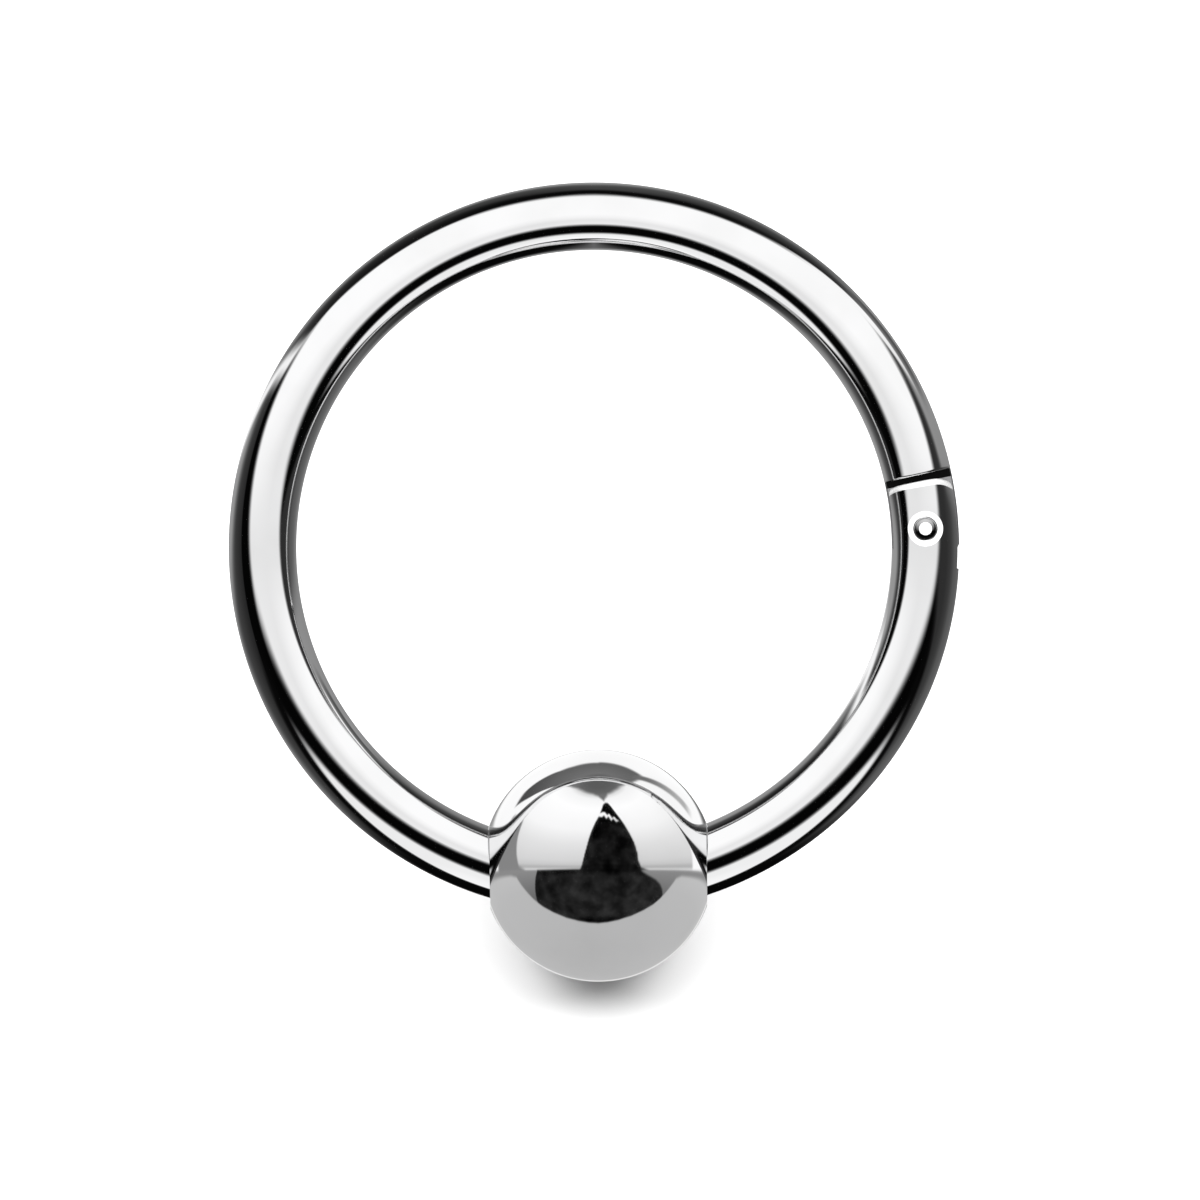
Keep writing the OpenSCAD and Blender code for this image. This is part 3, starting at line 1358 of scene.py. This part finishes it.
@dataclass(frozen=True)
class LightTent:
    """A round tent of cards and lamps that only the polished steel sees.

    Its radius is in millimetres. The wall is the bare wall's shade, and white the shade of full
    light. A shade is what shows in the steel, so its light is divided by the steel's
    reflectance, and the screen's two numbers are the offset and the power by which a screen
    turns a shade into light. Grains of the mottle are counted over the radius, and columns and
    rows are the wall's points round the tent and from its foot to its top.
    """

    name: str
    radius: float
    wall: float
    panels: tuple[Panel, ...]
    reflectance: float = 0.89
    grains: float = 4.5
    columns: int = 400
    rows: int = 201
    white: float = 255.0
    screen: tuple[float, float] = (0.055, 2.4)

    def build(self, picture_frame: Matrix) -> Object:
        """Make the tent: points (cos e sin a, sin e, cos e cos a) times its radius.

        Args:
            picture_frame: The picture's axes at the hoop's centre.

        Returns:
            The tent, with its shades and its mottle at its points.
        """
        azimuth = np.linspace(-180.0, 180.0, self.columns, endpoint=False)[None]
        elevation = np.linspace(-90.0, 90.0, self.rows)[:, None]
        a, e = np.radians(azimuth), np.radians(elevation)
        points = stacked(np.cos(e) * np.sin(a), np.sin(e), np.cos(e) * np.cos(a)) * self.radius * MM
        faces = grid_faces(self.rows, self.columns, ring=True)
        mesh = bpy.data.meshes.new(self.name)
        mesh.from_pydata(points.reshape(-1, 3).tolist(), [], faces.reshape(-1, QUAD).tolist())
        shade, mottle = np.full(points.shape[:2], self.wall), np.zeros(points.shape[:2])
        for panel in self.panels:
            shade, mottle = panel.painted(shade, mottle, azimuth, elevation)
        for name, values in (("shade", shade), ("mottle", mottle)):
            mesh.attributes.new(name, "FLOAT", "POINT").data.foreach_set("value", values.ravel())
        return new_object(self.name, mesh, picture_frame)

    def dress(self, made: Object, seen_by: list[Object]) -> None:
        """Light the tent's wall, for the pieces that it belongs to.

        Args:
            made: The tent.
            seen_by: The pieces that it lights.
        """
        made.data.materials.append(self._material())
        for ray in ("camera", "diffuse", "shadow", "transmission", "volume_scatter"):
            setattr(made, f"visible_{ray}", False)
        made.light_linking.receiver_collection = gathered(self.name + "_pieces", seen_by)

    def _material(self) -> Material:
        """Light by direction from the tent's centre, let through on its far side.

        A shade v shows where the light is ((v + o) / (1 + o)) to the screen's power.

        Returns:
            The material.
        """
        made = bpy.data.materials.new(self.name)
        made.cycles.emission_sampling = "NONE"
        shader = Shader(made)
        grain = shader.noise(shader.place(), self.grains / (self.radius * MM)) - 0.5
        shade = (shader.attribute("shade") + grain * shader.attribute("mottle")).at_least(0.0)
        offset, power = self.screen
        light = ((shade / self.white + offset) / (1 + offset)) ** power / self.reflectance
        glow = shader.node("ShaderNodeEmission", inputs={"Color": WHITE, "Strength": light})
        clear = shader.node("ShaderNodeBsdfTransparent")
        shader.close("ShaderNodeAddShader", {0: glow.outputs[0], 1: clear.outputs[0]})
        return made


def level(left: float, right: float, elevation: float) -> Corners:
    """A panel's level line, from its left to its right."""
    return (left, elevation), (right, elevation)


FOOT = level(-180, 180, -95)
TOP = level(-180, 180, 95)

WIRE_PANELS: tuple[Panel, ...] = (
    # wall, paler far behind
    Panel(shades=((0, 0),), lower=FOOT, upper=TOP,
          drift=((-180, 150), (-165, 145), (-141, 125), (-124, 88), (-109, 62), (-95, 52), (-78, 38),
                 (78, 46), (93, 58), (109, 84), (124, 92), (141, 104), (165, 130), (180, 150))),
    # paler still below the rail
    Panel(shades=((0, 150),), lower=((-180, -14), (-112, -4)), upper=((-180, 6), (-112, 24)),
          soft=16, side_soft=30),
    # dark ceiling
    Panel(shades=((45, 56), (60, 56), (75, 44)), soft=26,
          lower=((-180, 56), (-160, 48), (-140, 40), (-120, 36), (-95, 38), (95, 40), (120, 40), (150, 48),
                 (180, 56)),
          upper=TOP,
          drift=((-180, 22), (-150, 8), (-136, 0), (-118, -22), (-97, -34), (97, -32), (118, -4), (136, 10),
                 (150, 18), (180, 22))),
    Panel(shades=((80, 8),), lower=level(-180, 180, 84), upper=TOP, soft=12),
    # black low corners behind
    Panel(shades=((-55, 5),), soft=26, side_soft=20,
          lower=level(-178, -92, -80), upper=((-178, -26), (-150, -34), (-120, -48), (-92, -52))),
    Panel(shades=((-55, 5),), soft=26, side_soft=20,
          lower=level(96, 178, -80), upper=((96, -46), (120, -48), (150, -30), (178, -24))),
    # grey band on the right
    Panel(shades=((0, 132), (30, 146)), soft=10, side_soft=14,
          lower=((90, 11), (110, 9), (140, 4), (180, -4)), upper=((90, 30), (128, 40), (150, 26), (180, 4))),
    # black outline of the big card, and of the white floor
    Panel(shades=((0, 3),), soft=10, side_soft=8,
          lower=((-92, 29), (-86, 21), (-81, 10), (-77, -2), (-73, -14), (-68, -30), (-60, -50), (60, -50),
                 (78, -50)),
          upper=((-92, 31), (-79, 31), (-54, 2), (0, -12), (51, -3), (60, -8), (66, -12), (72, -16),
                 (78, -22))),
    Panel(shades=((0, 8),), soft=14, side_soft=16,
          lower=level(-120, -60, -64),
          upper=((-120, -58), (-104, -50), (-96, -42), (-88, -32), (-80, -24), (-70, -16), (-60, -16))),
    Panel(shades=((0, 8),), soft=14, side_soft=10,
          lower=level(60, 112, -64),
          upper=((60, -12), (72, -18), (80, -24), (88, -32), (98, -44), (112, -56))),
    # big white card overhead and in front
    Panel(shades=((-16, 240), (-8, 233), (0, 229), (10, 243), (20, 251)), soft=15, side_soft=8,
          lower=((-92, 40), (-84, 34), (-78, 28), (-72, 21), (-66, 14), (-60, 7), (-54, 0), (-49, -6),
                 (-44, -10), (-34, -12.5), (-24, -15.5), (-12, -17), (0, -19), (8, -18), (14, -16.5),
                 (26, -14.5), (38, -11.5), (46, -8), (51, -4), (55, 0), (62, 8), (68, 15.5), (71, 20),
                 (77, 28), (84, 34), (92, 40)),
          upper=((-92, 43), (-84, 51), (-76, 61), (-66, 69), (-45, 75), (-20, 79), (0, 80), (20, 79),
                 (45, 75), (64, 69), (76, 62), (92, 54))),
    # its wing
    Panel(shades=((25, 225), (40, 250)), soft=7, side_soft=8,
          lower=((86, 38), (90, 35), (94, 31), (102, 27), (107, 27)),
          upper=((86, 58), (92, 55), (98, 52), (107, 40))),
    # dark slot behind the wing
    Panel(shades=((0, 92),), lower=((107, 24), (134, 22)), upper=((107, 43), (134, 38)),
          soft=8, side_soft=8, drift=((112, 20), (122, -14), (130, -4))),
    # bright rail on the left
    Panel(shades=((0, 243),), soft=7, side_soft=12,
          lower=((-180, -2), (-165, 4), (-150, 8), (-139, 10), (-124, 18), (-112, 25), (-102, 27), (-87, 28)),
          upper=((-180, 5), (-165, 10), (-150, 15), (-139, 19), (-124, 27), (-112, 32), (-102, 34),
                 (-87, 37))),
    # white floor in front
    Panel(shades=((-75, 250), (-60, 238), (-45, 238), (-30, 240)), soft=14,
          lower=FOOT,
          upper=((-180, -84), (-110, -78), (-98, -69), (-88, -58), (-80, -47), (-72, -36), (-66, -31),
                 (-60, -30.5), (-54, -33), (-47, -37), (-40, -40.5), (-33, -44), (-24, -48), (-12, -51.5),
                 (0, -53), (12, -51.5), (24, -48), (36, -43.5), (46, -39), (55, -33.5), (62, -30), (68, -30),
                 (74, -34), (81, -42), (88, -51), (96, -64), (108, -77), (180, -84))),
)

BALL_PANELS: tuple[Panel, ...] = (
    # white cards, which fade towards their feet
    Panel(shades=((-2, 168), (1, 200), (5, 212), (20, 226), (35, 246), (58, 254), (70, 244), (76, 205)),
          lower=level(-104, 108, -3), upper=level(-104, 108, 95), soft=4, side_soft=4),
    # dull ceiling, which reaches low behind on both sides
    Panel(shades=((30, 66), (55, 96), (74, 112), (78, 98), (84, 90)), soft=5,
          lower=((-180, 55), (-160, 54), (-150, 51), (-143, 44), (-136, 34), (-127, 29), (-120, 40),
                 (-113, 62), (-97, 70.5), (-80, 74.5), (-60, 76), (-18, 76), (0, 73.5), (9, 69.5),
                 (12, 67.5), (16, 70), (30, 75), (60, 76), (90, 74.5), (110, 70), (120, 64), (130, 58),
                 (142, 52), (150, 53), (180, 54)),
          upper=TOP),
    # dim seam and dim strips low behind
    Panel(shades=((30, 175), (50, 110)), lower=level(130, 140, 22), upper=((130, 61), (140, 58)),
          soft=8, side_soft=5),
    Panel(shades=((0, 105),), soft=6, side_soft=12,
          lower=level(138, 180, -2), upper=((138, 8), (160, 9), (172, 9), (180, 8))),
    Panel(shades=((0, 150),), soft=6, side_soft=12,
          lower=level(-180, -138, -2), upper=((-180, 8), (-172, 9), (-160, 9), (-138, 8))),
    # grey stand beside the left card
    Panel(shades=((0, 132),), soft=4, side_soft=4,
          lower=level(-118, -78, -9),
          upper=((-118, 27), (-98, 29), (-94, 17), (-90, 7), (-86, -1), (-78, -4))),
    # dark gap between the cards, with the front edge of a lamp in it
    Panel(shades=((0, 24), (40, 12), (60, 4)), mottle=80,
          lower=level(-19, 52, -6),
          upper=((-19, -5), (-17, -3), (-15, 5), (-13, 14), (-10, 27), (-7.5, 35), (-4, 43), (0, 49),
                 (5, 57), (9, 63), (14, 65), (19, 64.5), (22.5, 60), (25.5, 54), (29.5, 46), (32.5, 39),
                 (35.5, 30), (38, 22), (39.5, 14), (40.5, 4), (43, -2), (52, -5))),
    Panel(shades=((44, 215), (52, 250)), soft=2,
          lower=((0, 50), (5, 49), (8, 51), (11, 47), (14, 49.5), (17, 44.5), (20, 47), (23, 43), (27, 44)),
          upper=((0, 53), (7, 55), (10, 55), (13, 51.5), (16, 53), (19, 48), (22, 49.5), (25, 45.5),
                 (27, 45))),
    # strip and slivers beside the dark band
    Panel(shades=((-30, 100), (-5, 138)), lower=level(-180, 180, -60), upper=level(-180, 180, -4), soft=2),
    # dark band below the cards
    Panel(shades=((-58, 8), (-50, 30), (-10, 32), (-5, 14)), side_soft=2, mottle=80,
          lower=level(-72, 73, -66),
          upper=((-72, -30), (-69, -20), (-66, -11), (-63, -4.5), (-18, -3.5), (-15, 1), (38, 1),
                 (41, -2.5), (45, -6), (51, -9), (60, -12.5), (66, -16), (70, -20), (73, -25))),
    # floor in front
    Panel(shades=((-90, 178), (-20, 184), (-8, 190)),
          lower=FOOT,
          upper=((-180, -7), (-98, -7.5), (-90, -9), (-86, -14), (-81, -20), (-75, -27.5), (-67.5, -35),
                 (-58, -42), (-45, -49.5), (-30, -54.5), (-15, -57.5), (0, -58.5), (15, -57), (30, -53.5),
                 (45, -47.5), (57, -40), (66, -33), (71, -27.5), (75, -22.5), (80, -16), (85, -10),
                 (92, -8), (180, -7))),
    # pale edge of the floor far behind
    Panel(shades=((0, 228),), soft=4, side_soft=5,
          lower=((-180, -19), (-170, -17), (-160, -9)), upper=level(-180, -160, -6)),
    Panel(shades=((0, 228),), soft=4, side_soft=5,
          lower=((160, -9), (170, -17), (180, -19)), upper=level(160, 180, -6)),
)


@dataclass(frozen=True)
class Studio:
    """The floor, its light, and the camera at the photo's angle, in millimetres and degrees.

    The camera's view is shifted from the hoop's centre and rolled counter-clockwise, and its
    clip is in shares of its distance. The floor glows faintly of its own. The row of lamps
    leans from above towards the picture's top, and each lamp to the right by its own angle.
    """

    view_width: float = 21.18
    view_shift: tuple[float, float] = (0.106, -0.923)
    roll: float = 0.77
    distance: float = 300.0
    clip: tuple[float, float] = (0.01, 100.0)
    floor_size: float = 4000.0
    floor_glow: float = 0.013
    floor_shade: float = 0.8
    floor_roughness: float = 0.9
    surround: float = 0.07
    lamp_energy: float = 7.7
    lamp_softness: float = 24.0
    lamp_lean: float = 25.5
    lamp_row: tuple[float, ...] = (-26.0, -13.0, 13.0, 26.0)

    def picture_frame(self, lying: Lying) -> Matrix:
        """The picture's axes at the hoop's centre: right, up and towards the camera."""
        return lying.frame_matrix() @ Matrix.Rotation(-math.radians(self.roll), 4, "Z")

    def camera(self, lying: Lying) -> None:
        """Look square at the hoop's plane through a long lens.

        Args:
            lying: How the ring lies.
        """
        data = bpy.data.cameras.new("photo_camera")
        data.lens = data.sensor_width * self.distance / self.view_width
        data.clip_start, data.clip_end = (self.distance * MM * share for share in self.clip)
        place = Matrix.Translation(Vector((*self.view_shift, self.distance)) * MM)
        bpy.context.scene.camera = new_object("photo_camera", data, self.picture_frame(lying) @ place)

    def floor(self) -> None:
        """A plain pale floor that the polished steel does not mirror."""
        half = self.floor_size * MM / 2
        mesh = bpy.data.meshes.new("floor")
        corners = [(-half, -half, 0), (half, -half, 0), (half, half, 0), (-half, half, 0)]
        mesh.from_pydata(corners, [], [(0, 1, 2, 3)])
        made = new_object("floor", mesh)
        made.visible_glossy = False
        material = bpy.data.materials.new("pale_floor")
        material.cycles.emission_sampling = "NONE"
        Shader(material).close("ShaderNodeBsdfPrincipled", {
            "Base Color": (self.floor_shade, self.floor_shade, self.floor_shade, 1.0),
            "Roughness": self.floor_roughness,
            "Specular IOR Level": 0.0,
            "Emission Color": WHITE,
            "Emission Strength": self.floor_glow,
        })
        mesh.materials.append(material)

    def lights(self, shading: list[Object]) -> None:
        """A row of soft lamps above the camera's side of the ring, and a faint surround.

        Args:
            shading: The pieces that shade the floor from the lamps.
        """
        blockers = gathered("lamp_blockers", shading)
        data = bpy.data.lights.new("soft_lamp", "SUN")
        data.energy, data.angle = self.lamp_energy / len(self.lamp_row), math.radians(self.lamp_softness)
        for place, lean in enumerate(self.lamp_row):
            made = new_object(f"soft_lamp_{place}", data)
            made.rotation_euler = (math.radians(-self.lamp_lean), math.radians(lean), 0.0)
            made.visible_glossy = False
            made.light_linking.blocker_collection = blockers
        world = bpy.data.worlds.new("surround")
        bpy.context.scene.world = world
        pale = {"Color": WHITE, "Strength": self.surround}
        Shader(world).close("ShaderNodeBackground", pale, "ShaderNodeOutputWorld")
        world.cycles_visibility.glossy = False
        bpy.context.scene.view_settings.view_transform = "Standard"


def main() -> None:
    """Build the ring and its studio, and report each piece."""
    logging.basicConfig(level=logging.INFO, format="%(name)s: %(message)s")
    sizes = RingSizes()
    lying = Lying(sizes)
    studio = Studio()
    hoop_finish = PolishedSteel("hoop_steel")
    pin_finish = PolishedSteel("pin_steel", smooth=0.05, hazy=0.09)
    ball_finish = PolishedSteel("ball_steel")
    wire: list[Object] = []
    balls: list[Object] = []
    for piece, finish, group in (
        (MainRing(sizes), hoop_finish, wire),
        (HingedSegment(sizes), hoop_finish, wire),
        (HingePin(sizes), pin_finish, wire),
        (Ball(sizes), ball_finish, balls),
    ):
        made = piece.build(lying)
        piece.dress(made, finish)
        group.append(made)
        LOG.info("%s: %d faces", made.name, len(made.data.polygons))
    for tent, group in (
        (LightTent("wire_tent", radius=24.0, wall=70.0, panels=WIRE_PANELS), wire),
        (LightTent("ball_tent", radius=400.0, wall=250.0, panels=BALL_PANELS), balls),
    ):
        tent.dress(tent.build(studio.picture_frame(lying)), group)
    studio.floor()
    studio.lights(balls)
    studio.camera(lying)


if __name__ == "__main__":
    main()
